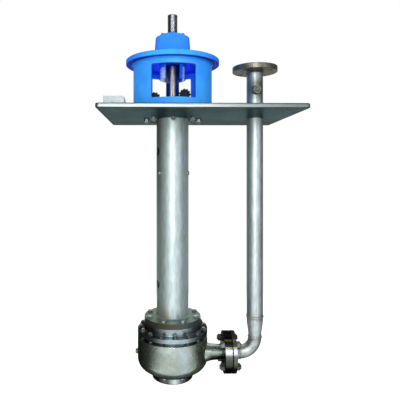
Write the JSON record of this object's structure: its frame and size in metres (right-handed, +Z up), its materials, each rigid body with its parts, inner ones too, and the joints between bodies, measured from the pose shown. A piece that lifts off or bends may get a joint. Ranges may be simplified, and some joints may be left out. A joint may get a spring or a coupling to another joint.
{
  "type": "vertical line-shaft pump",
  "caption": "Vertical sump pump hung from a rectangular sole plate, with a blue motor lantern, a bare drive shaft, a pipe column, a volute casing and a flanged discharge riser.",
  "frame": {"origin": "on the shaft axis at the underside of the sole plate, where the pump is hung over its sump", "axes": "+Z runs up along the shaft to the drive end, +X runs from the shaft towards the discharge riser, and -Y is the front"},
  "size_m": [0.667, 0.519, 1.3595],
  "materials": {
    "plate_steel": "satin",
    "pipe_steel": "satin",
    "flange_steel": "satin",
    "screw_steel": "satin",
    "dark_screws": "satin",
    "painted_screws": "gloss",
    "blue_paint": "gloss",
    "cast_green": "satin",
    "inner_iron": "matte",
    "shaft_steel": "gloss",
    "bearing_steel": "gloss",
    "brass": "satin",
    "copper_tube": "satin",
    "black_plastic": "matte",
    "black_rubber": "matte",
    "gasket": "matte"
  },
  "bodies": {
    "frame": {"sole_plate": "plate_steel", "instrument_cover": "plate_steel", "instrument_screws": "screw_steel", "lantern": "blue_paint", "lantern_screws": "dark_screws", "bearing_housing": "blue_paint", "housing_screws": "dark_screws", "upper_bearing_cover": "blue_paint", "upper_cover_screws": "painted_screws", "upper_seal": "black_rubber", "lower_bearing_cover": "blue_paint", "lower_cover_screws": "screw_steel", "lower_seal": "black_rubber", "upper_outer_rings": "bearing_steel", "lower_outer_ring": "bearing_steel", "lubricator_caps": "black_plastic", "lubricator_bodies": "black_plastic", "lubricator_fittings": "brass", "grease_tubes": "copper_tube", "column_pipe": "pipe_steel", "column_bolts": "screw_steel", "column_nuts": "screw_steel", "bearing_spider": "inner_iron", "spider_screws": "screw_steel", "spider_bush": "black_rubber", "bearing_bracket": "cast_green", "bracket_bolts": "screw_steel", "guide_bush": "black_rubber", "casing_cover": "cast_green", "throttle_bush": "black_rubber", "casing_seal_ring": "black_rubber", "cover_studs": "screw_steel", "cover_nuts": "screw_steel", "volute_casing": "cast_green", "casing_plug": "dark_screws", "suction_cover": "cast_green", "suction_screws": "screw_steel", "wear_ring": "bearing_steel", "discharge_gasket": "gasket", "discharge_studs": "screw_steel", "discharge_nuts": "dark_screws", "discharge_elbow": "flange_steel", "pipe_reducer": "pipe_steel", "riser_pipe": "pipe_steel", "riser_flange": "flange_steel", "riser_grommet": "black_rubber", "gauge_plug": "dark_screws"},
    "rotor": {"drive_shaft": "shaft_steel", "shaft_locknut": "shaft_steel", "upper_inner_rings": "bearing_steel", "lower_inner_ring": "bearing_steel", "shaft_coupling": "inner_iron", "coupling_screws": "dark_screws", "line_shaft": "shaft_steel", "spider_sleeve": "bearing_steel", "guide_sleeve": "bearing_steel", "impeller": "inner_iron", "impeller_nut": "shaft_steel"},
    "upper_balls": {"upper_ball_sets": "brass"},
    "lower_balls": {"lower_ball_set": "brass"}
  },
  "joints": [
    {"name": "shaft_spin", "type": "hinge", "parent": "frame", "child": "rotor", "pos_m": [0, 0, 0], "axis": [0, 0, 1], "continuous": true},
    {"name": "upper_cage_spin", "type": "hinge", "parent": "frame", "child": "upper_balls", "pos_m": [0, 0, 0.277], "axis": [0, 0, 1], "continuous": true},
    {"name": "lower_cage_spin", "type": "hinge", "parent": "frame", "child": "lower_balls", "pos_m": [0, 0, 0.223], "axis": [0, 0, 1], "continuous": true}
  ],
  "couplings": [
    {"joint": "upper_cage_spin", "follows": "shaft_spin", "ratio": 0.4222},
    {"joint": "lower_cage_spin", "follows": "shaft_spin", "ratio": 0.4275}
  ]
}
